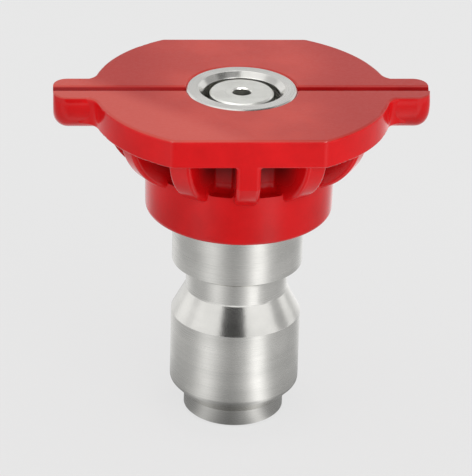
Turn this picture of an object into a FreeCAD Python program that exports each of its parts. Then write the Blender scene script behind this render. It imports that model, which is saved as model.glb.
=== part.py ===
import FreeCAD, Part
import math
import os

import Sketcher

# High-pressure spray tip with a quick-connect plug: a turned steel plug body, an
# orifice piece pressed into its outlet, a vane that straightens the water in its bore,
# and a moulded guard with two finger wings that shows which way the tip is turned.
# Millimetres. The axis is Z, the water leaves upwards, and the origin is the centre of
# the inlet end of the plug.

doc = FreeCAD.newDocument("spray_tip")

# --- Sizes -----------------------------------------------------------------------------
# name, value or formula, what it is
SIZES = (
    # plug, which goes into the lance coupler
    ("plug_radius", "5.9", "both sealing lands of the plug"),
    ("plug_length", "20.2", "inlet end to the guard"),
    ("nose_step", "1.34", "how far the inlet end is set in from the lands"),
    ("nose_height", "1.6", "length of the inlet end"),
    ("lead_height", "1.45", "length of the lead-in cone above the nose"),
    ("lead_round", "0.5", "rounding between that cone and the lower land"),
    ("land_length", "6.87", "lower land"),
    ("lock_depth", "1.3", "depth of the groove for the coupler's balls"),
    ("lock_cone", "2.48", "polished cone from the lower land to the groove's floor"),
    ("lock_floor", "2.05", "length of the groove's floor"),
    ("lock_flank", "0.67", "steep upper flank of the groove"),
    ("lock_round", "0.35", "hollow corners of the groove's floor"),
    # guard seat on the body, hidden in the guard
    ("guard_height", "11.5", "lower end of the guard to the outlet face"),
    ("hex_lead", "1.0", "round socket under the hexagon"),
    ("hex_cut", "0.6", "depth of the milled flats"),
    ("head_height", "4.5", "round head above the step that carries the guard"),
    ("snap_below", "2.4", "outlet face to the groove that holds the guard"),
    ("snap_half", "0.5", "half the height of that groove"),
    ("snap_depth", "0.26", "depth of that groove"),
    # water way
    ("nose_wall", "1.36", "wall of the inlet end"),
    ("seat_below", "8.3", "outlet face to the step that the orifice piece is pressed against"),
    ("seat_step", "0.34", "width of that step"),
    ("recess_depth", "3.2", "ring-shaped recess in the outlet face"),
    ("recess_gap", "0.56", "width of that recess beside the orifice piece"),
    ("mouth_flare", "0.44", "how much the recess widens at the face"),
    ("mouth_depth", "0.5", "height of that flare"),
    ("rim_width", "1.05", "flat rim round the recess"),
    # orifice piece
    ("flange_height", "2.0", "flange under the seat"),
    ("orifice_radius", "0.82", "hole that the jet leaves through"),
    ("orifice_length", "2.2", "straight part of that hole"),
    ("orifice_flare", "0.1", "how much its small countersink widens"),
    ("orifice_sink", "0.12", "depth of that countersink"),
    ("orifice_below", "0.34", "orifice face under the outlet face"),
    ("throat_wall", "0.9", "flange wall at the start of the cone"),
    # flow straightener
    ("vane_length", "8.0", "length of the four vanes"),
    ("vane_thickness", "0.5", "thickness of a vane"),
    ("vane_gap", "1.2", "free space between vanes and orifice piece"),
    # guard
    ("plate_radius", "13.15", "round edge of the guard's top plate"),
    ("flat_depth", "1.75", "how far the two flats are cut into the plate"),
    ("plate_thickness", "2.6", "top plate"),
    ("edge_round", "0.3", "rounding of the plate's top edge"),
    ("corner_round", "0.9", "rounding between a flat and the round edge"),
    ("wing_length", "3.45", "wing beyond the plate's round edge"),
    ("wing_radius", "2.35", "round bar of a wing"),
    ("wing_crown", "1.1", "plate's top face above the bar's axis"),
    ("wing_end_round", "1.3", "rounding of a wing's end"),
    ("root_radius", "1.6", "hollow corner between plate and wing"),
    ("stub_length", "0.1", "flat part of the plate outline inside a wing"),
    ("mark_width", "1.25", "V groove across plate and wings, at its lips"),
    ("mark_depth", "0.62", "depth of that groove"),
    ("collar_height", "4.7", "lower end of the guard to the ledge between the ribs"),
    ("ledge_width", "1.45", "that ledge, collar to hub"),
    ("collar_draft", "0.08", "how much narrower the collar is at its lower end"),
    ("collar_round", "0.5", "rounding of the collar's lower edge"),
    ("hub_wall", "0.86", "wall of the hub over the hexagon's corners"),
    ("ledge_round", "0.7", "hollow corner between ledge and hub"),
    ("rib_count", "12", "ribs under the plate"),
    ("rib_width", "2.1", "thickness of a rib"),
    ("rib_inset", "1.15", "plate's round edge to the outer end of a rib"),
    ("rib_drop", "0.65", "how far a rib runs down the collar from the ledge"),
    ("rib_curve", "6.0", "radius of a rib's outer edge"),
    ("rib_round", "0.4", "rounding of the ribs' outer edges"),
    ("pocket_round", "0.3", "hollow corners of the pockets between the ribs"),
    ("lower_round", "0.25", "rounding of the plate's lower edge"),
    ("lip_round", "0.12", "rounding of the V groove's lips"),
    ("bore_break", "0.15", "edge break of the guard's bore at the top face"),
    # fits
    ("slip_fit", "0.02", "radial clearance between guard and body"),
    ("press_fit", "0.01", "radial clearance drawn at pressed pieces"),
    # heights that follow from the sizes above
    ("lead_top", "=nose_height + lead_height", "bottom of the lower land"),
    ("land_top", "=lead_top + land_length", "top of the lower land"),
    ("lock_low", "=land_top + lock_cone", "lower end of the groove's floor"),
    ("lock_high", "=lock_low + lock_floor", "upper end of the groove's floor"),
    ("lock_top", "=lock_high + lock_flank", "upper edge of the groove"),
    ("collar_top", "=plug_length + collar_height", "ledge between the ribs"),
    ("rib_foot", "=collar_top - rib_drop", "where a rib's outer curve meets the collar"),
    ("overall_height", "=plug_length + guard_height", "inlet end to the outlet face"),
    ("hex_start", "=plug_length + hex_lead", "bottom of the milled hexagon"),
    ("shoulder_level", "=overall_height - head_height", "step that carries the guard"),
    ("snap_level", "=overall_height - snap_below", "middle of the groove that holds the guard"),
    ("snap_low", "=snap_level - snap_half", "lower edge of the snap groove"),
    ("snap_high", "=snap_level + snap_half", "upper edge of the snap groove"),
    ("snap_floor_low", "=snap_level - snap_half / 2", "lower end of its floor"),
    ("snap_floor_high", "=snap_level + snap_half / 2", "upper end of its floor"),
    ("seat_level", "=overall_height - seat_below", "step above the orifice piece's flange"),
    ("recess_floor", "=overall_height - recess_depth", "floor of the outlet recess"),
    ("mouth_level", "=overall_height - mouth_depth", "where the flare starts"),
    ("flange_bottom", "=seat_level - flange_height", "lower face of the orifice piece"),
    ("orifice_top", "=overall_height - orifice_below", "outer face of the orifice piece"),
    ("sink_level", "=orifice_top - orifice_sink", "bottom of its countersink"),
    ("throat_top", "=sink_level - orifice_length", "where the cone meets the hole"),
    ("vane_top", "=flange_bottom - vane_gap", "upper end of the vanes"),
    ("vane_bottom", "=vane_top - vane_length", "lower end of the vanes"),
    ("plate_bottom", "=overall_height - plate_thickness", "underside of the top plate"),
    ("wing_level", "=overall_height - wing_crown", "height of the wings' axis"),
    ("mark_floor", "=overall_height - mark_depth", "bottom of the V groove"),
    ("rib_top", "=plate_bottom + plate_thickness / 2", "upper end of a rib, inside the plate"),
    ("over_top", "=overall_height + 1", "clear above the part"),
    ("under_nose", "=0 - 1", "clear below the part"),
    ("under_collar", "=plug_length - 1", "clear below the guard"),
    # radii and widths that follow
    ("nose_radius", "=plug_radius - nose_step", "reduced inlet end"),
    ("lock_radius", "=plug_radius - lock_depth", "floor of the ball groove"),
    ("bore_radius", "=nose_radius - nose_wall", "inlet bore"),
    ("neck_radius", "=bore_radius - seat_step", "bore above the seat"),
    ("recess_radius", "=neck_radius + recess_gap", "outer wall of the recess"),
    ("mouth_radius", "=recess_radius + mouth_flare", "recess wall where it opens at the face"),
    ("head_radius", "=mouth_radius + rim_width", "round head above the step"),
    ("snap_radius", "=head_radius - snap_depth", "floor of the snap groove"),
    ("over_plug", "=plug_radius + 1", "clear outside the plug"),
    ("hex_corner", "=(plug_radius - hex_cut) / cos(30 deg)", "corners of the body's hexagon"),
    ("flange_radius", "=bore_radius - press_fit", "flange of the orifice piece"),
    ("shank_radius", "=neck_radius - press_fit", "shank of the orifice piece"),
    ("throat_radius", "=flange_radius - throat_wall", "start of the cone in the orifice piece"),
    ("orifice_mouth", "=orifice_radius + orifice_flare", "outer edge of its countersink"),
    ("vane_reach", "=bore_radius - press_fit", "tip radius of the vanes"),
    ("vane_half", "=vane_thickness / 2", "half a vane"),
    ("collar_bore", "=plug_radius + slip_fit", "guard around the plug"),
    ("head_bore", "=head_radius + slip_fit", "guard around the head"),
    ("break_level", "=overall_height - bore_break", "lower end of that bore's edge break"),
    ("break_radius", "=head_bore + bore_break", "and its outer edge"),
    ("bead_radius", "=snap_radius + slip_fit", "crest of the guard's bead"),
    ("hex_bore", "=(plug_radius - hex_cut + slip_fit) / cos(30 deg)", "corners of the socket"),
    ("hub_radius", "=hex_bore + hub_wall", "wall behind the ribs"),
    ("collar_radius", "=hub_radius + ledge_width", "collar at its top"),
    ("collar_foot", "=collar_radius - collar_draft", "collar at its lower end"),
    ("plate_half", "=plate_radius - flat_depth", "axis to a flat"),
    ("flat_half", "=sqrt(plate_radius ^ 2 - plate_half ^ 2)", "half the length of a flat"),
    ("wing_reach", "=plate_radius + wing_length", "axis to a wing's end"),
    ("neck_half", "=sqrt(wing_radius ^ 2 - wing_crown ^ 2)", "half a wing's top face"),
    ("root_middle", "=neck_half + root_radius", "centre of the hollow corner, across"),
    ("root_along", "=sqrt((plate_radius + root_radius) ^ 2 - root_middle ^ 2)", "and along"),
    ("root_share", "=plate_radius / (plate_radius + root_radius)", "part of the way to the plate"),
    ("root_start", "=root_along * root_share", "hollow corner on the plate, along"),
    ("root_side", "=root_middle * root_share", "and across"),
    ("stub_end", "=root_along + stub_length", "end of the outline inside the wing"),
    ("mark_half", "=mark_width / 2", "half the V groove"),
    ("rib_root", "=hub_radius - hub_wall / 3", "inner end of a rib, inside the hub"),
    ("rib_reach", "=plate_radius - rib_inset", "outer end of a rib under the plate"),
    ("trim_outer", "=wing_reach + 1", "clear outside the guard"),
)

sheet = doc.addObject("Spreadsheet::Sheet", "Sizes")
for row, (size_name, content, meaning) in enumerate(SIZES, start=1):
    sheet.set("A%d" % row, size_name)
    sheet.set("B%d" % row, content)
    sheet.set("C%d" % row, meaning)
    sheet.setAlias("B%d" % row, size_name)
doc.recompute()


def size(name):
    """Value of a named size; a leading minus sign turns it round."""
    if name == "0":
        return 0.0
    if name.startswith("-"):
        return -float(sheet.get(name[1:]))
    return float(sheet.get(name))


def formula(name):
    """The same size as an expression on the sheet."""
    return "-Sizes." + name[1:] if name.startswith("-") else "Sizes." + name


# --- Sketching helpers -----------------------------------------------------------------
def plane_of(body, role):
    for feature in body.Origin.OriginFeatures:
        if feature.Role == role:
            return feature
    raise RuntimeError("no plane " + role)


def new_sketch(body, name, role, level="0"):
    """Sketch on a base plane, raised by a named size along the plane's normal."""
    sketch = body.newObject("Sketcher::SketchObject", name)
    sketch.AttachmentSupport = [(plane_of(body, role), "")]
    sketch.MapMode = "FlatFace"
    if level != "0":
        sketch.setExpression("AttachmentOffset.Base.z", formula(level))
    return sketch


def pin_point(sketch, edge, end, x_name, y_name):
    """Tie one end of an edge to two named sizes, measured from the sketch's origin."""
    for kind, axis, name in (("DistanceX", -2, x_name), ("DistanceY", -1, y_name)):
        if name == "0":
            sketch.addConstraint(Sketcher.Constraint("PointOnObject", edge, end, axis))
            continue
        index = sketch.addConstraint(
            Sketcher.Constraint(kind, -1, 1, edge, end, size(name))
        )
        sketch.setExpression("Constraints[%d]" % index, formula(name))


def middle_of_arc(start, end, radius, side):
    """Point half way along an arc; side is +1 when it bulges to the left of the chord."""
    chord_x = end[0] - start[0]
    chord_y = end[1] - start[1]
    chord = math.hypot(chord_x, chord_y)
    rise = radius - math.sqrt(radius ** 2 - (chord / 2) ** 2)
    return (
        (start[0] + end[0]) / 2 - side * rise * chord_y / chord,
        (start[1] + end[1]) / 2 + side * rise * chord_x / chord,
    )


def closed_outline(sketch, corners, arcs=None):
    """Closed loop through corners of named sizes; arcs gives {edge: (radius, side)}."""
    arcs = arcs or {}
    points = [(size(x_name), size(y_name)) for x_name, y_name in corners]
    count = len(points)
    ends = []
    for index in range(count):
        start = points[index]
        end = points[(index + 1) % count]
        start_vector = FreeCAD.Vector(start[0], start[1], 0)
        end_vector = FreeCAD.Vector(end[0], end[1], 0)
        if index in arcs:
            radius_name, side = arcs[index]
            middle = middle_of_arc(start, end, size(radius_name), side)
            middle_vector = FreeCAD.Vector(middle[0], middle[1], 0)
            # a sketched arc runs anticlockwise, so one that bulges left is drawn backwards
            if side > 0:
                arc = Part.Arc(end_vector, middle_vector, start_vector)
                ends.append((2, 1))
            else:
                arc = Part.Arc(start_vector, middle_vector, end_vector)
                ends.append((1, 2))
            sketch.addGeometry(arc, False)
        else:
            sketch.addGeometry(Part.LineSegment(start_vector, end_vector), False)
            ends.append((1, 2))
    for index in range(count):
        following = (index + 1) % count
        sketch.addConstraint(
            Sketcher.Constraint("Coincident", index, ends[index][1], following, ends[following][0])
        )
    for index, (x_name, y_name) in enumerate(corners):
        pin_point(sketch, index, ends[index][0], x_name, y_name)
    for index, (radius_name, side) in arcs.items():
        radius = sketch.addConstraint(Sketcher.Constraint("Radius", index, size(radius_name)))
        sketch.setExpression("Constraints[%d]" % radius, formula(radius_name))
    return sketch


def circle(sketch, radius_name, y_name="0"):
    centre = FreeCAD.Vector(0, size(y_name), 0)
    edge = sketch.addGeometry(
        Part.Circle(centre, FreeCAD.Vector(0, 0, 1), size(radius_name)), False
    )
    pin_point(sketch, edge, 3, "0", y_name)
    radius = sketch.addConstraint(Sketcher.Constraint("Radius", edge, size(radius_name)))
    sketch.setExpression("Constraints[%d]" % radius, formula(radius_name))


def hexagon(sketch, corner_name):
    """Regular hexagon with two corners on the sketch's X axis."""
    guide = sketch.addGeometry(
        Part.Circle(FreeCAD.Vector(0, 0, 0), FreeCAD.Vector(0, 0, 1), size(corner_name)), True
    )
    sketch.addConstraint(Sketcher.Constraint("Coincident", guide, 3, -1, 1))
    radius = sketch.addConstraint(Sketcher.Constraint("Radius", guide, size(corner_name)))
    sketch.setExpression("Constraints[%d]" % radius, formula(corner_name))
    corners = []
    for step in range(6):
        angle = math.radians(60 * step)
        corners.append(
            FreeCAD.Vector(size(corner_name) * math.cos(angle), size(corner_name) * math.sin(angle), 0)
        )
    sides = [
        sketch.addGeometry(Part.LineSegment(corners[step], corners[(step + 1) % 6]), False)
        for step in range(6)
    ]
    for step in range(6):
        following = sides[(step + 1) % 6]
        sketch.addConstraint(Sketcher.Constraint("Coincident", sides[step], 2, following, 1))
        sketch.addConstraint(Sketcher.Constraint("PointOnObject", sides[step], 1, guide))
        if step:
            sketch.addConstraint(Sketcher.Constraint("Equal", sides[0], sides[step]))
    sketch.addConstraint(Sketcher.Constraint("PointOnObject", sides[0], 1, -1))


# --- Feature helpers -------------------------------------------------------------------
def turned(body, name, corners, arcs=None, cut=False):
    """Revolve a half section about Z, as material or as a turned cut."""
    sketch = closed_outline(new_sketch(body, name + "_section", "XZ_Plane"), corners, arcs)
    kind = "PartDesign::Groove" if cut else "PartDesign::Revolution"
    feature = body.newObject(kind, name)
    feature.Profile = sketch
    feature.ReferenceAxis = (sketch, ["V_Axis"])
    feature.Angle = 360
    sketch.Visibility = False
    return made(feature)


def padded(body, name, sketch, length, both_ways=False):
    feature = body.newObject("PartDesign::Pad", name)
    feature.Profile = sketch
    feature.setExpression("Length", length)
    if both_ways:
        feature.SideType = "Symmetric"
    sketch.Visibility = False
    return made(feature)


def pocketed(body, name, sketch, length, upwards=False, both_ways=False):
    """Cut a sketch away, down from its plane or up from it; it has to remove something."""
    before = body.Shape.Volume
    feature = body.newObject("PartDesign::Pocket", name)
    feature.Profile = sketch
    feature.setExpression("Length", length)
    feature.Reversed = upwards
    if both_ways:
        feature.SideType = "Symmetric"
    sketch.Visibility = False
    made(feature)
    if not body.Shape.Volume < before - 1e-4:
        raise RuntimeError(name + " removes nothing")
    return feature


def made(feature):
    """Recompute, and stop at once if the feature has no valid shape."""
    doc.recompute()
    if feature.Shape.isNull() or not feature.Shape.isValid():
        raise RuntimeError(feature.Label + " has no valid shape")
    return feature


def edges_where(shape, test):
    return ["Edge%d" % (i + 1) for i, edge in enumerate(shape.Edges) if test(edge)]


def rounded(body, name, base, test, radius_name):
    """Round the edges of a feature that a test picks."""
    feature = body.newObject("PartDesign::Fillet", name)
    picked = edges_where(base.Shape, test)
    if not picked:
        raise RuntimeError(name + " finds no edge")
    feature.Base = (base, picked)
    feature.setExpression("Radius", formula(radius_name))
    return made(feature)


def eased(body, name, base, test, radius_name):
    """Round edges where it can be done; other sizes may leave no room, and they stay sharp."""
    try:
        return rounded(body, name, base, test, radius_name)
    except RuntimeError as trouble:
        print("left sharp:", trouble)
    body.removeObject(doc.getObject(name))
    doc.removeObject(name)
    body.Tip = base
    for earlier in body.Group:
        earlier.touch()
    doc.recompute()
    return base


def chamfered(body, name, base, test, width):
    feature = body.newObject("PartDesign::Chamfer", name)
    picked = edges_where(base.Shape, test)
    if not picked:
        raise RuntimeError(name + " finds no edge")
    feature.Base = (base, picked)
    feature.Size = width
    return made(feature)


def ring_edge(radius, level):
    """Test for a full circle about Z of a given radius at a given height."""
    def test(edge):
        curve = edge.Curve
        if curve.TypeId != "Part::GeomCircle" or len(edge.Vertexes) != 1:
            return False
        centre = curve.Center
        on_axis = math.hypot(centre.x, centre.y) < 1e-4
        return on_axis and abs(curve.Radius - radius) < 1e-4 and abs(centre.z - level) < 1e-4
    return test


def flat_at(edge, level):
    box = edge.BoundBox
    return abs(box.ZMin - level) < 1e-4 and abs(box.ZMax - level) < 1e-4


# --- Plug body: turned from stainless bar ----------------------------------------------
plug = doc.addObject("PartDesign::Body", "plug_body")
turned(plug, "bar_turning", (
    ("0", "0"),
    ("nose_radius", "0"),
    ("nose_radius", "nose_height"),
    ("plug_radius", "lead_top"),
    ("plug_radius", "shoulder_level"),
    ("head_radius", "shoulder_level"),
    ("head_radius", "overall_height"),
    ("0", "overall_height"),
))
lock = turned(plug, "ball_lock_groove", (
    ("plug_radius", "land_top"),
    ("lock_radius", "lock_low"),
    ("lock_radius", "lock_high"),
    ("plug_radius", "lock_top"),
    ("over_plug", "lock_top"),
    ("over_plug", "land_top"),
), cut=True)
rounded(plug, "groove_floor_round", lock,
        lambda edge: any(ring_edge(size("lock_radius"), size(level))(edge)
                         for level in ("lock_low", "lock_high")),
        "lock_round")
turned(plug, "snap_groove", (
    ("head_radius", "snap_low"),
    ("snap_radius", "snap_floor_low"),
    ("snap_radius", "snap_floor_high"),
    ("head_radius", "snap_high"),
    ("over_plug", "snap_high"),
    ("over_plug", "snap_low"),
), cut=True)
turned(plug, "water_way", (
    ("0", "under_nose"),
    ("bore_radius", "under_nose"),
    ("bore_radius", "seat_level"),
    ("neck_radius", "seat_level"),
    ("neck_radius", "recess_floor"),
    ("recess_radius", "recess_floor"),
    ("recess_radius", "mouth_level"),
    ("mouth_radius", "overall_height"),
    ("mouth_radius", "over_top"),
    ("0", "over_top"),
), cut=True)
hex_sketch = new_sketch(plug, "milled_hexagon_outline", "XY_Plane", "hex_start")
circle(hex_sketch, "over_plug")
hexagon(hex_sketch, "hex_corner")
milled = pocketed(plug, "milled_hexagon", hex_sketch,
                  "Sizes.shoulder_level - Sizes.hex_start", upwards=True)
nose_round = chamfered(plug, "nose_edge_break", milled,
                       ring_edge(size("nose_radius"), 0.0), 0.22)
bore_break = chamfered(plug, "inlet_edge_break", nose_round,
                       ring_edge(size("bore_radius"), 0.0), 0.3)
land_round = rounded(plug, "lead_in_round", bore_break,
                     ring_edge(size("plug_radius"), size("lead_top")), "lead_round")
head_break = chamfered(plug, "head_edge_break", land_round,
                       ring_edge(size("head_radius"), size("overall_height")), 0.15)
plug.Tip = head_break

# --- Orifice piece: hardened, pressed in from the inlet side ----------------------------
orifice = doc.addObject("PartDesign::Body", "orifice_insert")
insert_turning = turned(orifice, "insert_turning", (
    ("throat_radius", "flange_bottom"),
    ("flange_radius", "flange_bottom"),
    ("flange_radius", "seat_level"),
    ("shank_radius", "seat_level"),
    ("shank_radius", "orifice_top"),
    ("orifice_mouth", "orifice_top"),
    ("orifice_radius", "sink_level"),
    ("orifice_radius", "throat_top"),
))
insert_break = chamfered(orifice, "face_edge_break", insert_turning,
                         ring_edge(size("shank_radius"), size("orifice_top")), 0.15)
orifice.Tip = insert_break

# --- Flow straightener: four crossed vanes pressed into the bore ------------------------
straightener = doc.addObject("PartDesign::Body", "flow_straightener")
vane_sketch = new_sketch(straightener, "vane_cross", "XY_Plane", "vane_bottom")
closed_outline(vane_sketch, (
    ("vane_reach", "-vane_half"),
    ("vane_reach", "vane_half"),
    ("vane_half", "vane_half"),
    ("vane_half", "vane_reach"),
    ("-vane_half", "vane_reach"),
    ("-vane_half", "vane_half"),
    ("-vane_reach", "vane_half"),
    ("-vane_reach", "-vane_half"),
    ("-vane_half", "-vane_half"),
    ("-vane_half", "-vane_reach"),
    ("vane_half", "-vane_reach"),
    ("vane_half", "-vane_half"),
))
vanes = padded(straightener, "crossed_vanes", vane_sketch, "Sizes.vane_length")
vane_ends = new_sketch(straightener, "vane_tip_outline", "XY_Plane", "vane_bottom")
circle(vane_ends, "over_plug")
circle(vane_ends, "vane_reach")
vane_tips = pocketed(straightener, "vane_tips_turned", vane_ends, "Sizes.vane_length",
                     upwards=True)
straightener.Tip = vane_tips

# --- Guard: one moulding ----------------------------------------------------------------
guard = doc.addObject("PartDesign::Body", "spray_guard")


def plate_outline():
    """Plate corners and arcs: disc, two flats and the hollow corners at the wings."""
    corners = []
    arcs = {}
    # each quarter starts at its wing and goes to its flat, or the other way round
    quarter = ("stub_end", "neck_half"), ("root_along", "neck_half"), \
              ("root_start", "root_side"), ("flat_half", "plate_half")
    for x_sign, y_sign, backwards in (("", "", False), ("-", "", True),
                                      ("-", "-", False), ("", "-", True)):
        steps = tuple(reversed(quarter)) if backwards else quarter
        first = len(corners)
        for x_name, y_name in steps:
            corners.append((x_sign + x_name, y_sign + y_name))
        if backwards:
            arcs[first] = ("plate_radius", -1)
            arcs[first + 1] = ("root_radius", 1)
        else:
            arcs[first + 1] = ("root_radius", 1)
            arcs[first + 2] = ("plate_radius", -1)
    return corners, arcs


plate_corners, plate_arcs = plate_outline()
plate_sketch = new_sketch(guard, "plate_outline", "XY_Plane", "plate_bottom")
closed_outline(plate_sketch, plate_corners, plate_arcs)
plate = padded(guard, "top_plate", plate_sketch, "Sizes.plate_thickness")

corner_round = rounded(
    guard, "plate_corner_round", plate,
    lambda edge: edge.BoundBox.ZLength > size("plate_thickness") / 2
    and abs(abs(edge.BoundBox.XMin) - size("flat_half")) < 1e-3
    and abs(abs(edge.BoundBox.YMin) - size("plate_half")) < 1e-3,
    "corner_round")
plate_round = rounded(
    guard, "plate_top_round", corner_round,
    lambda edge: flat_at(edge, size("overall_height")) and edge.BoundBox.XLength > 0.01
    and max(abs(edge.BoundBox.XMin), abs(edge.BoundBox.XMax)) < size("root_along") + 1e-4,
    "edge_round")

wing_sketch = new_sketch(guard, "wing_bar_section", "YZ_Plane")
circle(wing_sketch, "wing_radius", "wing_level")
wings = padded(guard, "wing_bar", wing_sketch, "Sizes.wing_reach * 2", both_ways=True)
wing_ends = rounded(
    guard, "wing_end_round", wings,
    lambda edge: edge.Curve.TypeId == "Part::GeomCircle"
    and abs(abs(edge.Curve.Center.x) - size("wing_reach")) < 1e-4,
    "wing_end_round")

trim_sketch = new_sketch(guard, "top_trim_outline", "XY_Plane", "overall_height")
closed_outline(trim_sketch, (
    ("trim_outer", "plate_radius"),
    ("-trim_outer", "plate_radius"),
    ("-trim_outer", "-plate_radius"),
    ("trim_outer", "-plate_radius"),
))
pocketed(guard, "top_trim", trim_sketch, "Sizes.wing_radius * 2", upwards=True)

collar = turned(guard, "collar_and_hub", (
    ("0", "plug_length"),
    ("collar_foot", "plug_length"),
    ("collar_radius", "collar_top"),
    ("hub_radius", "collar_top"),
    ("hub_radius", "rib_top"),
    ("0", "rib_top"),
))
collar_round = rounded(guard, "collar_edge_round", collar,
                       ring_edge(size("collar_foot"), size("plug_length")), "collar_round")
ledge_round = rounded(guard, "ledge_corner_round", collar_round,
                      ring_edge(size("hub_radius"), size("collar_top")), "ledge_round")

rib_sketch = new_sketch(guard, "rib_outline", "XZ_Plane")
closed_outline(rib_sketch, (
    ("rib_root", "rib_foot"),
    ("collar_radius", "rib_foot"),
    ("rib_reach", "plate_bottom"),
    ("rib_reach", "rib_top"),
    ("rib_root", "rib_top"),
), arcs={1: ("rib_curve", -1)})
rib = padded(guard, "rib", rib_sketch, "Sizes.rib_width", both_ways=True)
ribs = guard.newObject("PartDesign::PolarPattern", "rib_ring")
ribs.Originals = [rib]
ribs.Axis = (rib_sketch, ["V_Axis"])
ribs.Angle = 360
ribs.setExpression("Occurrences", "Sizes.rib_count")
guard.Tip = ribs
doc.recompute()

# the ribs under the flats end flush with them
flat_sketch = new_sketch(guard, "flat_trim_outline", "XY_Plane", "over_top")
for side in ("", "-"):
    first = len(flat_sketch.Geometry)
    flat_points = (
        ("-trim_outer", side + "plate_half"),
        ("trim_outer", side + "plate_half"),
        ("trim_outer", side + "trim_outer"),
        ("-trim_outer", side + "trim_outer"),
    )
    vectors = [FreeCAD.Vector(size(x_name), size(y_name), 0) for x_name, y_name in flat_points]
    for index in range(4):
        flat_sketch.addGeometry(Part.LineSegment(vectors[index], vectors[(index + 1) % 4]), False)
    for index in range(4):
        following = first + (index + 1) % 4
        flat_sketch.addConstraint(
            Sketcher.Constraint("Coincident", first + index, 2, following, 1)
        )
        pin_point(flat_sketch, first + index, 1, flat_points[index][0], flat_points[index][1])
pocketed(guard, "flat_trim", flat_sketch, "Sizes.over_top")

turned(guard, "socket", (
    ("0", "under_collar"),
    ("collar_bore", "under_collar"),
    ("collar_bore", "hex_start"),
    ("head_bore", "hex_start"),
    ("head_bore", "snap_low"),
    ("bead_radius", "snap_floor_low"),
    ("bead_radius", "snap_floor_high"),
    ("head_bore", "snap_high"),
    ("head_bore", "break_level"),
    ("break_radius", "overall_height"),
    ("break_radius", "over_top"),
    ("0", "over_top"),
), cut=True)
socket_sketch = new_sketch(guard, "hexagon_socket_outline", "XY_Plane", "hex_start")
hexagon(socket_sketch, "hex_bore")
pocketed(guard, "hexagon_socket", socket_sketch,
         "Sizes.shoulder_level - Sizes.hex_start", upwards=True)

mark_sketch = new_sketch(guard, "direction_groove_section", "YZ_Plane")
closed_outline(mark_sketch, (
    ("0", "mark_floor"),
    ("mark_half", "overall_height"),
    ("mark_half", "over_top"),
    ("-mark_half", "over_top"),
    ("-mark_half", "overall_height"),
))
mark = pocketed(guard, "direction_groove", mark_sketch, "Sizes.wing_reach * 2 + 2", both_ways=True)
guard.Tip = mark
doc.recompute()


def middle(edge):
    """Point halfway along an edge."""
    return edge.valueAt((edge.FirstParameter + edge.LastParameter) / 2)


def outer_rib_edge(edge):
    """Test for the outer edges of the ribs, except the two ribs under the wings."""
    point = middle(edge)
    if abs(point.y) < size("rib_width"):
        return False
    if edge.Curve.TypeId == "Part::GeomCircle":
        return abs(edge.Curve.Radius - size("rib_curve")) < 1e-4
    upright = edge.Curve.TypeId == "Part::GeomLine" and edge.BoundBox.XLength < 1e-3
    return (upright and edge.BoundBox.ZLength > size("rib_drop")
            and abs(abs(point.y) - size("plate_half")) < 1e-4
            and abs(abs(point.x) - size("rib_width") / 2) < 1e-4)


def lower_plate_edge(edge):
    """Test for the lower edge of the plate: its round parts, corners and flats."""
    if not flat_at(edge, size("plate_bottom")):
        return False
    if edge.Curve.TypeId == "Part::GeomCircle":
        return min(abs(edge.Curve.Radius - size(name))
                   for name in ("plate_radius", "corner_round")) < 1e-4
    on_flat = abs(abs(middle(edge).y) - size("plate_half")) < 1e-4
    return on_flat and edge.Length > size("rib_width")


def pocket_corner(edge):
    """Test for the inner corners of a pocket: rib to plate, and rib to hub."""
    if edge.Curve.TypeId != "Part::GeomLine":
        return False
    point = middle(edge)
    if abs(point.y) < size("rib_width") and abs(point.x) > size("hub_radius") + 0.5:
        return False
    if edge.BoundBox.ZLength > size("ledge_round"):
        reach = math.hypot(point.x, point.y)
        return abs(reach - size("hub_radius")) < 0.1 and abs(edge.tangentAt(0).z) > 0.99
    if not flat_at(edge, size("plate_bottom")):
        return False
    along = edge.tangentAt(edge.FirstParameter)
    off_axis = abs(along.x * point.y - along.y * point.x)
    return abs(off_axis - size("rib_width") / 2) < 1e-4


def groove_lip(edge):
    """Test for the long lips of the V groove."""
    return (edge.Curve.TypeId == "Part::GeomLine" and flat_at(edge, size("overall_height"))
            and abs(abs(middle(edge).y) - size("mark_half")) < 1e-4)


lip_round = eased(guard, "groove_lip_round", mark, groove_lip, "lip_round")
rib_round = eased(guard, "rib_edge_round", lip_round, outer_rib_edge, "rib_round")
lower_round = eased(guard, "plate_lower_round", rib_round, lower_plate_edge, "lower_round")
pocket_round = eased(guard, "pocket_corner_round", lower_round, pocket_corner, "pocket_round")
guard.Tip = pocket_round
doc.recompute()

# --- Checks and export ------------------------------------------------------------------
for item in doc.Objects:
    bad = [state for state in item.State if state in ("Invalid", "Error")]
    if bad:
        raise RuntimeError("%s is %s" % (item.Label, bad))
for item in doc.Objects:
    if item.TypeId == "Sketcher::SketchObject" and item.solve() != 0:
        raise RuntimeError(item.Label + " does not solve")

os.makedirs("parts", exist_ok=True)
for piece in (plug, orifice, straightener, guard):
    shape = piece.Shape
    if shape.isNull() or not shape.isValid() or len(shape.Solids) != 1:
        raise RuntimeError(piece.Label + " is not one valid solid")
    shape.exportStep("parts/%s.step" % piece.Label)
    box = shape.BoundBox
    print("%-18s volume %8.2f  x %.2f..%.2f  y %.2f..%.2f  z %.2f..%.2f" % (
        piece.Label, shape.Volume, box.XMin, box.XMax, box.YMin, box.YMax, box.ZMin, box.ZMax))
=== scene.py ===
"""Visual model of a push-in spray tip: steel plug, pressed-in orifice, vanes and red guard."""

import logging
import math
from dataclasses import dataclass
from enum import Enum

import bmesh
import bpy
from mathutils import Matrix, Vector


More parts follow.
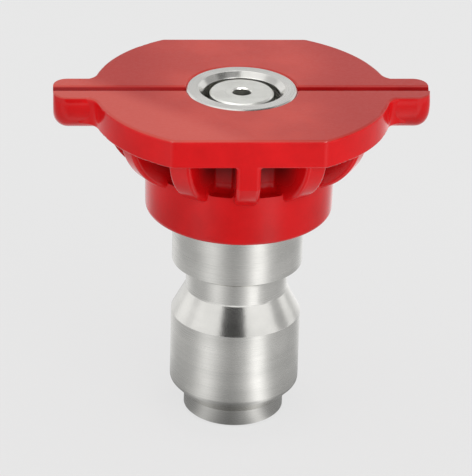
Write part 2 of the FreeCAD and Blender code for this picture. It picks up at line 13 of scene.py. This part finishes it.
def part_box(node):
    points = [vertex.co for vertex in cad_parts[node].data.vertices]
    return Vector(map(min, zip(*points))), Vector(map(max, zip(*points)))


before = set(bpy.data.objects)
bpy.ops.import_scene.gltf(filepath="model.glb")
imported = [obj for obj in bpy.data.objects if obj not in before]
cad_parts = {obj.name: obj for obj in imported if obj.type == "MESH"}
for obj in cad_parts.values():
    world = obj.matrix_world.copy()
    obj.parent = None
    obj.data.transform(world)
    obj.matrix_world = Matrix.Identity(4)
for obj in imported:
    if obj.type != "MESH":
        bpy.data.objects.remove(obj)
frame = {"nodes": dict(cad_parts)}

log = logging.getLogger("spray_tip")
MM = 0.001

# heights above the inlet end: the polished cone, the guard, the ledge under its ribs, its plate
CONE_LOW = 9.92 * MM
CONE_HIGH = 12.40 * MM
GUARD_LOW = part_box("spray_guard")[0].z
LEDGE = GUARD_LOW + 4.70 * MM
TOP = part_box("spray_guard")[1].z
PLATE_LOW = TOP - 2.60 * MM
# from the axis to a wing's end, and half the width of the V groove at its lips
WING_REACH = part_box("spray_guard")[1].x
GROOVE_HALF = 0.625 * MM

# value sockets of Blender's Mix node, which share their names
MIX_FLOAT_LOW, MIX_FLOAT_HIGH = 2, 3
MIX_COLOUR_LOW, MIX_COLOUR_HIGH, MIX_COLOUR_OUT = 6, 7, 2

Colour = tuple[float, float, float]
Socket = bpy.types.NodeSocket
Source = Socket | float | Colour


# --- Node trees ---------------------------------------------------------------------------
class Sheet:
    """A node tree with short calls for adding and joining nodes."""

    def __init__(self, tree: bpy.types.NodeTree) -> None:
        """Keep the tree that nodes are added to."""
        self.tree = tree

    def add(self, kind: str, **settings: object) -> bpy.types.Node:
        """Add a node.

        Args:
            kind: Blender's type name without the leading "ShaderNode".
            settings: Attributes of the node, such as operation="MULTIPLY".

        Returns:
            The new node.
        """
        node = self.tree.nodes.new("ShaderNode" + kind)
        for name, value in settings.items():
            setattr(node, name, value)
        return node

    def feed(self, socket: Socket, source: Source) -> None:
        """Join a socket to an output, or set its value when the source is a number or colour.

        Args:
            socket: Socket that takes the source.
            source: Output of another node, a number or a colour.
        """
        if isinstance(source, bpy.types.NodeSocket):
            self.tree.links.new(source, socket)
        elif isinstance(source, tuple) and len(source) == 3 and socket.type == "RGBA":
            socket.default_value = (*source, 1.0)
        else:
            socket.default_value = source

    def place(self) -> Socket:
        """Return the place on the object, in its own metres."""
        return self.add("TexCoord").outputs["Object"]

    def parts(self, vector: Source) -> tuple[Socket, Socket, Socket]:
        """Return a vector's X, Y and Z.

        Args:
            vector: Vector to take apart.

        Returns:
            The three numbers.
        """
        node = self.add("SeparateXYZ")
        self.feed(node.inputs[0], vector)
        return node.outputs[0], node.outputs[1], node.outputs[2]

    def joined(self, x: Source, y: Source, z: Source) -> Socket:
        """Return a vector made of X, Y and Z.

        Args:
            x: First part.
            y: Second part.
            z: Third part.

        Returns:
            The vector.
        """
        node = self.add("CombineXYZ")
        for socket, source in zip(node.inputs, (x, y, z)):
            self.feed(socket, source)
        return node.outputs[0]

    def maths(self, operation: str, first: Source, second: Source = 0.0,
              third: Source = 0.0, clamp: bool = False) -> Socket:
        """Return the output of a Math node over up to three values.

        Args:
            operation: Blender's name of the operation.
            first: First value.
            second: Second value.
            third: Third value.
            clamp: Whether the result stays between 0 and 1.

        Returns:
            The result.
        """
        node = self.add("Math", operation=operation, use_clamp=clamp)
        for socket, source in zip(node.inputs, (first, second, third)):
            self.feed(socket, source)
        return node.outputs[0]

    def times(self, first: Source, second: Source) -> Socket:
        """Return the product of two values."""
        return self.maths("MULTIPLY", first, second)

    def swing(self, noise: Source, amount: float, middle: Source, clamp: bool = False) -> Socket:
        """Return a value that noise swings about its middle.

        Args:
            noise: Noise between 0 and 1.
            amount: Full width of the swing.
            middle: Value where the noise is one half.
            clamp: Whether the result stays between 0 and 1.

        Returns:
            The swung value.
        """
        centred = self.maths("SUBTRACT", noise, 0.5)
        return self.maths("MULTIPLY_ADD", centred, amount, middle, clamp)

    def from_axis(self, x: Source, y: Source) -> Socket:
        """Return the distance from the Z axis."""
        return self.maths("SQRT", self.maths("ADD", self.times(x, x), self.times(y, y)))

    def ramp(self, value: Source, low: float, high: float, to_low: float = 0.0,
             to_high: float = 1.0) -> Socket:
        """Return a value mapped from one range to another, eased at both ends.

        Args:
            value: Value to map.
            low: Start of its range.
            high: End of its range.
            to_low: Result at the start.
            to_high: Result at the end.

        Returns:
            The mapped value.
        """
        node = self.add("MapRange", interpolation_type="SMOOTHSTEP")
        for name, source in (("Value", value), ("From Min", low), ("From Max", high),
                             ("To Min", to_low), ("To Max", to_high)):
            self.feed(node.inputs[name], source)
        return node.outputs[0]

    def band(self, value: Source, low: float, high: float, edge: float) -> Socket:
        """Return 1 between two values and 0 outside them, with soft edges.

        Args:
            value: Value to test.
            low: Start of the band.
            high: End of the band.
            edge: Half the width of a soft edge.

        Returns:
            The share of the band.
        """
        return self.times(self.ramp(value, low - edge, low + edge),
                          self.ramp(value, high - edge, high + edge, 1.0, 0.0))

    def blend(self, share: Source, low: Source, high: Source) -> Socket:
        """Return a colour between two colours.

        Args:
            share: Share of the second colour.
            low: First colour.
            high: Second colour.

        Returns:
            The blended colour.
        """
        node = self.add("Mix", data_type="RGBA")
        self.feed(node.inputs["Factor"], share)
        self.feed(node.inputs[MIX_COLOUR_LOW], low)
        self.feed(node.inputs[MIX_COLOUR_HIGH], high)
        return node.outputs[MIX_COLOUR_OUT]

    def between(self, share: Source, low: Source, high: Source) -> Socket:
        """Return a number between two numbers.

        Args:
            share: Share of the second number.
            low: First number.
            high: Second number.

        Returns:
            The blended number.
        """
        node = self.add("Mix", data_type="FLOAT")
        self.feed(node.inputs["Factor"], share)
        self.feed(node.inputs[MIX_FLOAT_LOW], low)
        self.feed(node.inputs[MIX_FLOAT_HIGH], high)
        return node.outputs[0]

    def noise(self, vector: Source, scale: Source, detail: float = 3.0,
              roughness: float = 0.5) -> Socket:
        """Return plain noise over a vector.

        Args:
            vector: Place where the noise is taken.
            scale: How fine the noise is.
            detail: Number of finer layers.
            roughness: How strong the finer layers are.

        Returns:
            Noise between 0 and 1.
        """
        node = self.add("TexNoise", noise_dimensions="3D")
        for name, source in (("Vector", vector), ("Scale", scale), ("Detail", detail),
                             ("Roughness", roughness)):
            self.feed(node.inputs[name], source)
        return node.outputs[0]

    def relief(self, height: Source, depth: float, strength: float) -> Socket:
        """Return the surface direction of a bumped face.

        Args:
            height: Height of the face between 0 and 1.
            depth: What a height of 1 stands for, in metres.
            strength: Share of the bump that shows.

        Returns:
            The direction for a shader's Normal.
        """
        node = self.add("Bump")
        node.inputs["Distance"].default_value = depth
        node.inputs["Strength"].default_value = strength
        self.feed(node.inputs["Height"], height)
        return node.outputs[0]

    def group(self, tree: bpy.types.NodeTree, **values: Source) -> bpy.types.Node:
        """Place a node group and feed its inputs by name, with _ for a space.

        Args:
            tree: The group's tree.
            values: Input name to what feeds it.

        Returns:
            The group's node.
        """
        node = self.add("Group")
        node.node_tree = tree
        for name, source in values.items():
            self.feed(node.inputs[name.replace("_", " ")], source)
        return node


def new_group(name: str, takes: dict[str, tuple[str, float | None]],
              gives: dict[str, str]) -> tuple[Sheet, bpy.types.Node, bpy.types.Node]:
    """Start a shader node group.

    Args:
        name: Name of the group.
        takes: Input name to its socket type and default.
        gives: Output name to its socket type.

    Returns:
        The sheet to build on, the group's input node and its output node.
    """
    tree = bpy.data.node_groups.new(name, "ShaderNodeTree")
    for label, (kind, default) in takes.items():
        socket = tree.interface.new_socket(name=label, in_out="INPUT",
                                           socket_type="NodeSocket" + kind)
        if default is not None:
            socket.default_value = default
    for label, kind in gives.items():
        tree.interface.new_socket(name=label, in_out="OUTPUT", socket_type="NodeSocket" + kind)
    return Sheet(tree), tree.nodes.new("NodeGroupInput"), tree.nodes.new("NodeGroupOutput")


@dataclass
class Effects:
    """Surface effects that several finishes share, each built once as a node group."""

    band_break: float = 90.0
    band_pitch: float = 1100.0

    def __post_init__(self) -> None:
        """Build every effect."""
        self.turning = self._turning()
        self.grain = self._grain()

    def _turning(self) -> bpy.types.NodeTree:
        """Tool lines of a lathe: rings about Z of uneven depth, broken a little round the turn.

        Returns:
            The group's tree.
        """
        sheet, source, sink = new_group(
            "turning_lines",
            {"Vector": ("Vector", None), "Pitch": ("Float", 9000.0), "Break": ("Float", 60.0)},
            {"Rings": "Float", "Bands": "Float"},
        )
        x, y, z = sheet.parts(source.outputs["Vector"])
        # height and radius together, so that the lines follow walls, cones and faces alike
        along = sheet.maths("ADD", z, sheet.from_axis(x, y))
        broken, pitch = source.outputs["Break"], source.outputs["Pitch"]
        fine = sheet.joined(sheet.times(x, broken), sheet.times(y, broken),
                            sheet.times(along, pitch))
        wide = sheet.joined(sheet.times(x, self.band_break), sheet.times(y, self.band_break),
                            sheet.times(along, self.band_pitch))
        sheet.feed(sink.inputs["Rings"], sheet.noise(fine, 1.0, 4.0, 0.6))
        sheet.feed(sink.inputs["Bands"], sheet.noise(wide, 1.0, 2.0, 0.5))
        return sheet.tree

    def _grain(self) -> bpy.types.NodeTree:
        """Fine grain with soft patches, for moulded and ground faces.

        Returns:
            The group's tree.
        """
        sheet, source, sink = new_group(
            "fine_grain",
            {"Vector": ("Vector", None), "Grain Scale": ("Float", 6000.0),
             "Patch Scale": ("Float", 400.0)},
            {"Grain": "Float", "Patches": "Float"},
        )
        vector = source.outputs["Vector"]
        sheet.feed(sink.inputs["Grain"], sheet.noise(vector, source.outputs["Grain Scale"], 3.0))
        sheet.feed(sink.inputs["Patches"],
                   sheet.noise(vector, source.outputs["Patch Scale"], 4.0))
        return sheet.tree


# --- Finishes -----------------------------------------------------------------------------
def new_material(name: str) -> tuple[bpy.types.Material, Sheet, bpy.types.Node]:
    """Make a material that holds a Principled shader.

    Args:
        name: Name of the material.

    Returns:
        The material, its sheet and its Principled shader.
    """
    material, sheet = bare_material(name)
    shader = sheet.add("BsdfPrincipled")
    end = sheet.add("OutputMaterial")
    sheet.feed(end.inputs["Surface"], shader.outputs[0])
    return material, sheet, shader


def bare_material(name: str) -> tuple[bpy.types.Material, Sheet]:
    """Make a material without any nodes.

    Args:
        name: Name of the material.

    Returns:
        The material and its sheet.
    """
    material = bpy.data.materials.new(name)
    material.use_nodes = True
    material.node_tree.nodes.clear()
    return material, Sheet(material.node_tree)


@dataclass(frozen=True)
class TurnedSteel:
    """Stainless steel off a lathe, satin, with polished bands between given heights."""

    name: str = "turned_steel"
    light: Colour = (0.74, 0.73, 0.70)
    dark: Colour = (0.58, 0.575, 0.55)
    satin: float = 0.26
    satin_swing: float = 0.16
    polished: float = 0.19
    polished_swing: float = 0.08
    polished_bands: tuple[tuple[float, float], ...] = ()
    band_edge: float = 0.05 * MM
    anisotropic: float = 0.55
    line_pitch: float = 14000.0
    line_break: float = 45.0
    line_depth: float = 0.01 * MM
    line_strength: float = 0.25
    lines_left: float = 0.3
    ripple: float = 2.2

    def make(self, effects: Effects) -> bpy.types.Material:
        """Build the material.

        Args:
            effects: The shared surface effects.

        Returns:
            The material.
        """
        material, sheet, shader = new_material(self.name)
        place = sheet.place()
        turning = sheet.group(effects.turning, Vector=place, Pitch=self.line_pitch,
                              Break=self.line_break)
        patches = sheet.group(effects.grain, Vector=place, Grain_Scale=9000.0,
                              Patch_Scale=260.0).outputs["Patches"]
        ripples = sheet.group(effects.grain, Vector=place, Grain_Scale=2600.0,
                              Patch_Scale=1100.0).outputs["Patches"]
        rings = turning.outputs["Rings"]
        polish = self._polish(sheet, place)
        tone = sheet.swing(turning.outputs["Bands"], 0.9,
                           sheet.ramp(patches, 0.35, 0.65, 0.35, 0.85), clamp=True)
        sheet.feed(shader.inputs["Base Color"], sheet.blend(tone, self.dark, self.light))
        sheet.feed(shader.inputs["Roughness"], sheet.between(
            polish, sheet.swing(rings, self.satin_swing, self.satin),
            sheet.swing(patches, self.polished_swing, self.polished)))
        shader.inputs["Metallic"].default_value = 1.0
        shader.inputs["Anisotropic"].default_value = self.anisotropic
        lines = sheet.times(rings, sheet.maths(
            "SUBTRACT", 1.0, sheet.times(polish, 1.0 - self.lines_left)))
        height = sheet.maths("MULTIPLY_ADD", sheet.times(ripples, polish), self.ripple, lines)
        sheet.feed(shader.inputs["Normal"],
                   sheet.relief(height, self.line_depth, self.line_strength))
        return material

    def _polish(self, sheet: Sheet, place: Socket) -> Source:
        """Return 1 in the polished bands and 0 elsewhere.

        Args:
            sheet: Sheet of the material.
            place: Place on the plug.

        Returns:
            The share of polish.
        """
        level = sheet.parts(place)[2]
        polish: Source = 0.0
        for low, high in self.polished_bands:
            polish = sheet.maths("ADD", sheet.band(level, low, high, self.band_edge), polish)
        return polish


@dataclass(frozen=True)
class GroundSteel:
    """Hard steel with a ground face, finer than the turned plug."""

    name: str = "ground_steel"
    light: Colour = (0.80, 0.80, 0.76)
    dark: Colour = (0.66, 0.66, 0.62)
    roughness: float = 0.30
    roughness_swing: float = 0.2
    anisotropic: float = 0.3
    line_pitch: float = 9000.0
    line_break: float = 80.0
    line_depth: float = 0.008 * MM
    line_strength: float = 0.25

    def make(self, effects: Effects) -> bpy.types.Material:
        """Build the material.

        Args:
            effects: The shared surface effects.

        Returns:
            The material.
        """
        material, sheet, shader = new_material(self.name)
        place = sheet.place()
        grain = sheet.group(effects.grain, Vector=place, Grain_Scale=12000.0, Patch_Scale=700.0)
        rings = sheet.group(effects.turning, Vector=place, Pitch=self.line_pitch,
                            Break=self.line_break).outputs["Rings"]
        tone = sheet.swing(grain.outputs["Grain"], 0.5,
                           sheet.ramp(grain.outputs["Patches"], 0.3, 0.7, 0.2, 0.9), clamp=True)
        sheet.feed(shader.inputs["Base Color"], sheet.blend(tone, self.dark, self.light))
        sheet.feed(shader.inputs["Roughness"],
                   sheet.swing(rings, self.roughness_swing, self.roughness))
        shader.inputs["Metallic"].default_value = 1.0
        shader.inputs["Anisotropic"].default_value = self.anisotropic
        sheet.feed(shader.inputs["Normal"],
                   sheet.relief(rings, self.line_depth, self.line_strength))
        return material


@dataclass(frozen=True)
class MouldedPlastic:
    """Red moulded plastic: glossy sides with painted shade, and a duller, grainier top face
    whose colour carries a painted sheen.
    """

    name: str = "red_plastic"
    light: Colour = (0.640, 0.005, 0.007)
    dark: Colour = (0.460, 0.003, 0.004)
    # top face colours: the red with a painted sheen of the pale backdrop, mottled, brightest at
    # the front-left corner and faintest towards the wings
    top_sheen_light: Colour = (0.49, 0.044, 0.030)
    top_sheen_brightest: Colour = (0.54, 0.074, 0.055)
    top_sheen_dark: Colour = (0.38, 0.024, 0.017)
    top_sheen_faint: Colour = (0.36, 0.016, 0.011)
    # near-black red of the painted shade in the pockets and the groove
    shade_colour: Colour = (0.09, 0.002, 0.002)
    gloss: float = 0.13
    gloss_swing: float = 0.12
    matt: float = 0.42
    matt_swing: float = 0.2
    pocket_matt: float = 0.6
    index: float = 1.46
    sheen: float = 0.28
    grain_depth: float = 0.02 * MM
    grain_strength: float = 0.35
    side_grain: float = 0.15

    def make(self, effects: Effects) -> bpy.types.Material:
        """Build the material.

        Args:
            effects: The shared surface effects.

        Returns:
            The material.
        """
        material, sheet, shader = new_material(self.name)
        place = sheet.place()
        group = sheet.group(effects.grain, Vector=place, Grain_Scale=3800.0, Patch_Scale=230.0)
        grain, patches = group.outputs["Grain"], group.outputs["Patches"]
        x, y, z = sheet.parts(place)
        top = sheet.ramp(z, TOP - 0.20 * MM, TOP - 0.04 * MM)
        tone = sheet.swing(grain, 0.3, sheet.ramp(patches, 0.3, 0.7, 0.35, 1.0), clamp=True)
        pocket = self._pocket(sheet, x, y, z)
        # base colour: the sides carry painted shade, the top face a painted sheen
        sheet.feed(shader.inputs["Base Color"], sheet.blend(
            top, self._sides(sheet, x, y, z, tone, top, pocket), self._painted_top_sheen(sheet, x, y, tone)))
        sides = sheet.maths("MULTIPLY_ADD", pocket, self.pocket_matt,
                            sheet.swing(patches, self.gloss_swing, self.gloss), clamp=True)
        sheet.feed(shader.inputs["Roughness"], sheet.between(
            top, sides, sheet.swing(grain, self.matt_swing, self.matt)))
        shader.inputs["IOR"].default_value = self.index
        shader.inputs["Specular IOR Level"].default_value = self.sheen
        depth = sheet.maths("MULTIPLY_ADD", top, 1.0 - self.side_grain, self.side_grain)
        sheet.feed(shader.inputs["Normal"], sheet.relief(
            sheet.times(grain, depth), self.grain_depth, self.grain_strength))
        return material

    def _pocket(self, sheet: Sheet, x: Socket, y: Socket, z: Socket) -> Socket:
        """Return how far into the pockets between the ribs a place lies, from 0 to 1.

        Args:
            sheet: Sheet of the material.
            x: Place along the wings.
            y: Place across them.
            z: Height above the inlet end.

        Returns:
            The share of pocket.
        """
        inward = sheet.ramp(sheet.from_axis(x, y), 7.6 * MM, 11.5 * MM, 1.0, 0.0)
        upward = sheet.times(
            sheet.ramp(z, LEDGE - 0.3 * MM, PLATE_LOW - 0.9 * MM),
            sheet.ramp(z, PLATE_LOW, PLATE_LOW + 0.2 * MM, 1.0, 0.0))
        return sheet.times(inward, upward)

    def _sides(self, sheet: Sheet, x: Socket, y: Socket, z: Socket, tone: Socket, top: Socket,
               pocket: Socket) -> Socket:
        """Return the sides' colour with painted shade: darker low on the collar, towards the
        wing ends, in the pockets and in the groove.

        Args:
            sheet: Sheet of the material.
            x: Place along the wings.
            y: Place across them.
            z: Height above the inlet end.
            tone: Mottle between 0 and 1.
            top: Share of the top face.
            pocket: Share of pocket.

        Returns:
            The colour.
        """
        # painted shade: darker towards the bottom of the collar
        low = sheet.ramp(z, GUARD_LOW + 0.8 * MM, LEDGE + 1.1 * MM, 0.45, 0.0)
        # painted shade: darker towards the wing ends
        painted_outward_fade = sheet.ramp(sheet.maths("ABSOLUTE", x), WING_REACH - 4.1 * MM,
                             WING_REACH - 1.6 * MM, 0.0, 0.55)
        shade = sheet.maths("SUBTRACT", tone, sheet.maths("ADD", low, painted_outward_fade), clamp=True)
        # painted shade in the V groove
        groove = sheet.times(
            sheet.ramp(sheet.maths("ABSOLUTE", y), GROOVE_HALF - 0.045 * MM,
                       GROOVE_HALF + 0.035 * MM, 0.6, 0.0),
            sheet.ramp(z, TOP - 0.7 * MM, TOP - 0.6 * MM))
        # painted shade: the pockets and the groove blend towards a near-black red
        painted_shade = sheet.maths("MULTIPLY_ADD", sheet.maths("SUBTRACT", 1.0, top),
                            sheet.maths("MAXIMUM", pocket, groove), 0.0, clamp=True)
        return sheet.blend(painted_shade, sheet.blend(shade, self.dark, self.light), self.shade_colour)

    def _painted_top_sheen(self, sheet: Sheet, x: Socket, y: Socket, tone: Socket) -> Socket:
        """Return the top face's colour: the red with a painted sheen of the pale backdrop,
        palest at the front-left corner and fainter towards the wings.

        Args:
            sheet: Sheet of the material.
            x: Place along the wings.
            y: Place across them.
            tone: Mottle between 0 and 1.

        Returns:
            The colour.
        """
        # painted sheen fading towards the wings
        painted_outward_fade = sheet.ramp(sheet.maths("ABSOLUTE", x), 4.0 * MM, 10.0 * MM, 0.0, 0.85)
        top_sheen = sheet.blend(painted_outward_fade, sheet.blend(tone, self.top_sheen_dark, self.top_sheen_light),
                           self.top_sheen_faint)
        # painted sheen, brightest at the front-left corner
        bright_corner = sheet.ramp(sheet.maths("ADD", x, y), -13.5 * MM, -9.5 * MM, 0.8, 0.0)
        return sheet.blend(bright_corner, top_sheen, self.top_sheen_brightest)


@dataclass(frozen=True)
class PaleBoard:
    """Plain pale board that the tip stands on."""

    name: str = "pale_board"
    tone: float = 0.12
    cloud_share: float = 0.995
    glow: float = 0.667

    def make(self) -> bpy.types.Material:
        """Build the material.

        Returns:
            The material.
        """
        material, sheet, shader = new_material(self.name)
        cloud = sheet.ramp(sheet.noise(sheet.place(), 30.0, 4.0, 0.55), 0.3, 0.7)
        low, high = self.tone * self.cloud_share, self.tone
        sheet.feed(shader.inputs["Base Color"],
                   sheet.blend(cloud, (low, low, low), (high, high, high)))
        shader.inputs["Roughness"].default_value = 0.9
        shader.inputs["Specular IOR Level"].default_value = 0.0
        shader.inputs["Emission Color"].default_value = (1.0, 1.0, 1.0, 1.0)
        shader.inputs["Emission Strength"].default_value = self.glow
        return material


@dataclass(frozen=True)
class Felt:
    """Dull felt of one tone, from 0 for black to 1 for white."""

    name: str
    tone: float

    def make(self) -> bpy.types.Material:
        """Build the material.

        Returns:
            The material.
        """
        material, _, shader = new_material(self.name)
        shader.inputs["Base Color"].default_value = (self.tone, self.tone, self.tone, 1.0)
        shader.inputs["Roughness"].default_value = 1.0
        shader.inputs["Specular IOR Level"].default_value = 0.0
        return material


@dataclass(frozen=True)
class Lobe:
    """One bright or dim direction round Z: its angle in degrees, height and sharpness."""

    turn: float
    height: float
    power: float


@dataclass(frozen=True)
class Reflector:
    """Glowing board whose brightness has soft lobes in chosen directions round Z."""

    name: str = "reflector_glow"
    base: float = 0.52
    lobes: tuple[Lobe, ...] = (
        Lobe(32.0, 1.05, 34.0), Lobe(-46.0, 0.55, 26.0), Lobe(-8.0, -0.16, 40.0),
        Lobe(150.0, 0.6, 12.0), Lobe(-145.0, 0.4, 12.0),
    )
    near: float = 5.0 * MM
    far: float = 15.0 * MM
    near_share: float = 0.55

    def make(self) -> bpy.types.Material:
        """Build the material.

        Returns:
            The material.
        """
        material, sheet = bare_material(self.name)
        flat = sheet.add("VectorMath", operation="MULTIPLY")
        sheet.feed(flat.inputs[0], sheet.place())
        flat.inputs[1].default_value = (1.0, 1.0, 0.0)
        length = sheet.add("VectorMath", operation="LENGTH")
        sheet.feed(length.inputs[0], flat.outputs[0])
        unit = sheet.add("VectorMath", operation="NORMALIZE")
        sheet.feed(unit.inputs[0], flat.outputs[0])
        total: Source = self.base
        for lobe in self.lobes:
            toward = sheet.add("VectorMath", operation="DOT_PRODUCT")
            sheet.feed(toward.inputs[0], unit.outputs[0])
            toward.inputs[1].default_value = direction(lobe.turn, 0.0)
            share = sheet.maths("MAXIMUM", toward.outputs["Value"], 0.0)
            total = sheet.maths("MULTIPLY_ADD", sheet.maths("POWER", share, lobe.power),
                                lobe.height, total)
        nearness = sheet.ramp(length.outputs["Value"], self.near, self.far, self.near_share, 1.0)
        glow = sheet.add("Emission")
        sheet.feed(glow.inputs["Strength"], sheet.times(total, nearness))
        end = sheet.add("OutputMaterial")
        sheet.feed(end.inputs["Surface"], glow.outputs[0])
        return material


def dress(piece: bpy.types.Object, material: bpy.types.Material) -> None:
    """Give a piece one material on all its faces.

    Args:
        piece: Object to dress.
        material: Its material.
    """
    if piece.material_slots:
        for holder in piece.material_slots:
            holder.material = material
    else:
        piece.data.materials.append(material)


# --- Spray tip ----------------------------------------------------------------------------
@dataclass(frozen=True)
class SprayTip:
    """The tip's four pieces and the finish of each."""

    plug: TurnedSteel = TurnedSteel(
        polished_bands=((CONE_LOW, CONE_HIGH), (TOP - 0.48 * MM, TOP - 0.06 * MM)))
    orifice: GroundSteel = GroundSteel()
    vanes: GroundSteel = GroundSteel(name="vane_steel_finish")
    guard: MouldedPlastic = MouldedPlastic()

    def build(self, nodes: dict[str, bpy.types.Object]) -> None:
        """Dress every piece.

        Args:
            nodes: The tip's pieces by name.
        """
        effects = Effects()
        for name, finish in (("plug_body", self.plug), ("orifice_insert", self.orifice),
                             ("flow_straightener", self.vanes), ("spray_guard", self.guard)):
            dress(nodes[name], finish.make(effects))
            log.info("%s dressed in %s", name, finish.name)


# --- Studio -------------------------------------------------------------------------------
class Lights(Enum):
    """Which faces a light falls on."""

    MATT = "matt"
    GLOSSY = "glossy"


@dataclass(frozen=True)
class SoftBox:
    """Square area light that faces the tip: place in degrees and metres, side and watts."""

    name: str
    turn: float
    rise: float
    distance: float
    side: float
    power: float
    lights: Lights


@dataclass(frozen=True)
class FeltCard:
    """Round felt card that only shows in reflections: where it hangs, its radius and tone."""

    name: str
    turn: float
    rise: float
    distance: float
    radius: float
    tone: float


def direction(turn: float, rise: float) -> Vector:
    """Return the unit vector towards a place round the tip, both angles in degrees.

    Args:
        turn: Angle round Z from the front.
        rise: Angle above the floor.

    Returns:
        The unit vector.
    """
    a, e = math.radians(turn), math.radians(rise)
    return Vector((math.sin(a) * math.cos(e), -math.cos(a) * math.cos(e), math.sin(e)))


def staged(name: str, shape: bmesh.types.BMesh, material: bpy.types.Material
           ) -> bpy.types.Object:
    """Turn a shape into an object of the studio.

    Args:
        name: Name of the object.
        shape: Its mesh, which is freed.
        material: Its material.

    Returns:
        The new object.
    """
    mesh = bpy.data.meshes.new(name)
    shape.to_mesh(mesh)
    shape.free()
    board = bpy.data.objects.new(name, mesh)
    bpy.context.scene.collection.objects.link(board)
    dress(board, material)
    return board


@dataclass(frozen=True)
class Studio:
    """Floor, soft lights, cards and camera round the tip."""

    camera_turn: float = -4.197
    camera_rise: float = 26.172
    camera_roll: float = 1.658
    camera_distance: float = 0.260
    camera_slide: float = -0.135 * MM
    aim: tuple[float, float, float] = (0.0, 0.0, 0.01697)
    lens: float = 217.76
    floor_size: float = 6.0
    reflector_radius: float = 0.6
    reflector_lift: float = 0.03 * MM
    daylight: float = 1.08
    softboxes: tuple[SoftBox, ...] = (
        SoftBox("front_softbox", 28.0, 20.0, 0.9, 0.8, 2.6, Lights.MATT),
        SoftBox("right_lamp", 30.0, 46.0, 0.5, 0.05, 1.8, Lights.GLOSSY),
        SoftBox("left_lamp", -40.0, 44.0, 0.5, 0.05, 1.3, Lights.GLOSSY),
    )
    cards: tuple[FeltCard, ...] = (
        FeltCard("cone_card", -8.0, 30.0, 0.30, 0.115, 0.02),
        FeltCard("right_card", 94.0, 30.0, 0.30, 0.13, 0.50),
        FeltCard("left_card", -100.0, 30.0, 0.30, 0.11, 0.72),
        FeltCard("rear_card", -165.0, 28.0, 0.35, 0.14, 0.70),
        FeltCard("flare_card", 55.0, 56.0, 0.30, 0.15, 0.03),
    )

    def build(self) -> None:
        """Set up the whole studio."""
        self._camera()
        self._floor()
        self._reflector()
        for card in self.cards:
            self._card(card)
        self._daylight()
        for box in self.softboxes:
            self._softbox(box)
        bpy.context.scene.view_settings.view_transform = "Standard"

    def _camera(self) -> None:
        """Make the camera."""
        back = direction(self.camera_turn, self.camera_rise)
        a, roll = math.radians(self.camera_turn), math.radians(self.camera_roll)
        level = Vector((math.cos(a), math.sin(a), 0.0))
        upright = back.cross(level)
        right = level * math.cos(roll) + upright * math.sin(roll)
        up = upright * math.cos(roll) - level * math.sin(roll)
        data = bpy.data.cameras.new("studio_camera")
        data.lens, data.sensor_width, data.sensor_fit = self.lens, 36.0, "AUTO"
        data.clip_start, data.clip_end = 0.01, 20.0
        data.dof.use_dof = False
        holder = bpy.data.objects.new("studio_camera", data)
        bpy.context.scene.collection.objects.link(holder)
        turn = Matrix((right, up, back)).transposed()
        place = Vector(self.aim) + back * self.camera_distance + right * self.camera_slide
        holder.matrix_world = Matrix.Translation(place) @ turn.to_4x4()
        bpy.context.scene.camera = holder
        log.info("studio_camera placed")

    def _floor(self) -> None:
        """Lay the floor under the tip."""
        shape = bmesh.new()
        bmesh.ops.create_grid(shape, x_segments=8, y_segments=8, size=self.floor_size / 2)
        staged("studio_floor", shape, PaleBoard().make())
        log.info("studio_floor laid")

    def _daylight(self) -> None:
        """Set the even daylight of the room."""
        world = bpy.data.worlds.new("studio_room")
        world.use_nodes = True
        room = world.node_tree.nodes["Background"]
        room.inputs["Color"].default_value = (1.0, 1.0, 1.0, 1.0)
        room.inputs["Strength"].default_value = self.daylight
        bpy.context.scene.world = world

    def _softbox(self, box: SoftBox) -> None:
        """Hang a light that faces the tip.

        Args:
            box: The light.
        """
        data = bpy.data.lights.new(box.name, "AREA")
        data.shape = "RECTANGLE"
        data.size = data.size_y = box.side
        data.energy = box.power
        holder = bpy.data.objects.new(box.name, data)
        bpy.context.scene.collection.objects.link(holder)
        back = direction(box.turn, box.rise)
        holder.location = Vector(self.aim) + back * box.distance
        holder.rotation_mode = "QUATERNION"
        holder.rotation_quaternion = back.to_track_quat("Z", "Y")
        holder.visible_camera = False
        holder.visible_diffuse = box.lights is Lights.MATT
        holder.visible_glossy = box.lights is Lights.GLOSSY
        log.info("%s hung for %s faces", box.name, box.lights.value)

    def _mirrored_only(self, name: str, shape: bmesh.types.BMesh,
                       material: bpy.types.Material) -> None:
        """Stage a card that only shows in the reflections of glossy faces.

        Args:
            name: Name of the card.
            shape: Its mesh, which is freed.
            material: Its material.
        """
        board = staged(name, shape, material)
        board.visible_camera = False
        board.visible_diffuse = False
        board.visible_shadow = False
        board.visible_transmission = False
        log.info("%s hung", name)

    def _reflector(self) -> None:
        """Lay a round board on the floor whose brightness changes round the tip."""
        shape = bmesh.new()
        bmesh.ops.create_circle(shape, cap_ends=True, segments=96, radius=self.reflector_radius,
                                matrix=Matrix.Translation((0.0, 0.0, self.reflector_lift)))
        self._mirrored_only("floor_reflector", shape, Reflector().make())

    def _card(self, card: FeltCard) -> None:
        """Hang a felt card for the steel to mirror.

        Args:
            card: The card.
        """
        back = direction(card.turn, card.rise)
        place = Matrix.Translation(Vector(self.aim) + back * card.distance)
        turn = back.to_track_quat("Z", "Y").to_matrix().to_4x4()
        shape = bmesh.new()
        bmesh.ops.create_circle(shape, cap_ends=True, segments=48, radius=card.radius,
                                matrix=place @ turn)
        self._mirrored_only(card.name, shape, Felt(card.name + "_felt", card.tone).make())


def main() -> None:
    """Build the tip and its studio."""
    logging.basicConfig(level=logging.INFO, format="%(name)s: %(message)s")
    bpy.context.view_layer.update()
    SprayTip().build(frame["nodes"])
    Studio().build()


if __name__ == "__main__":
    main()
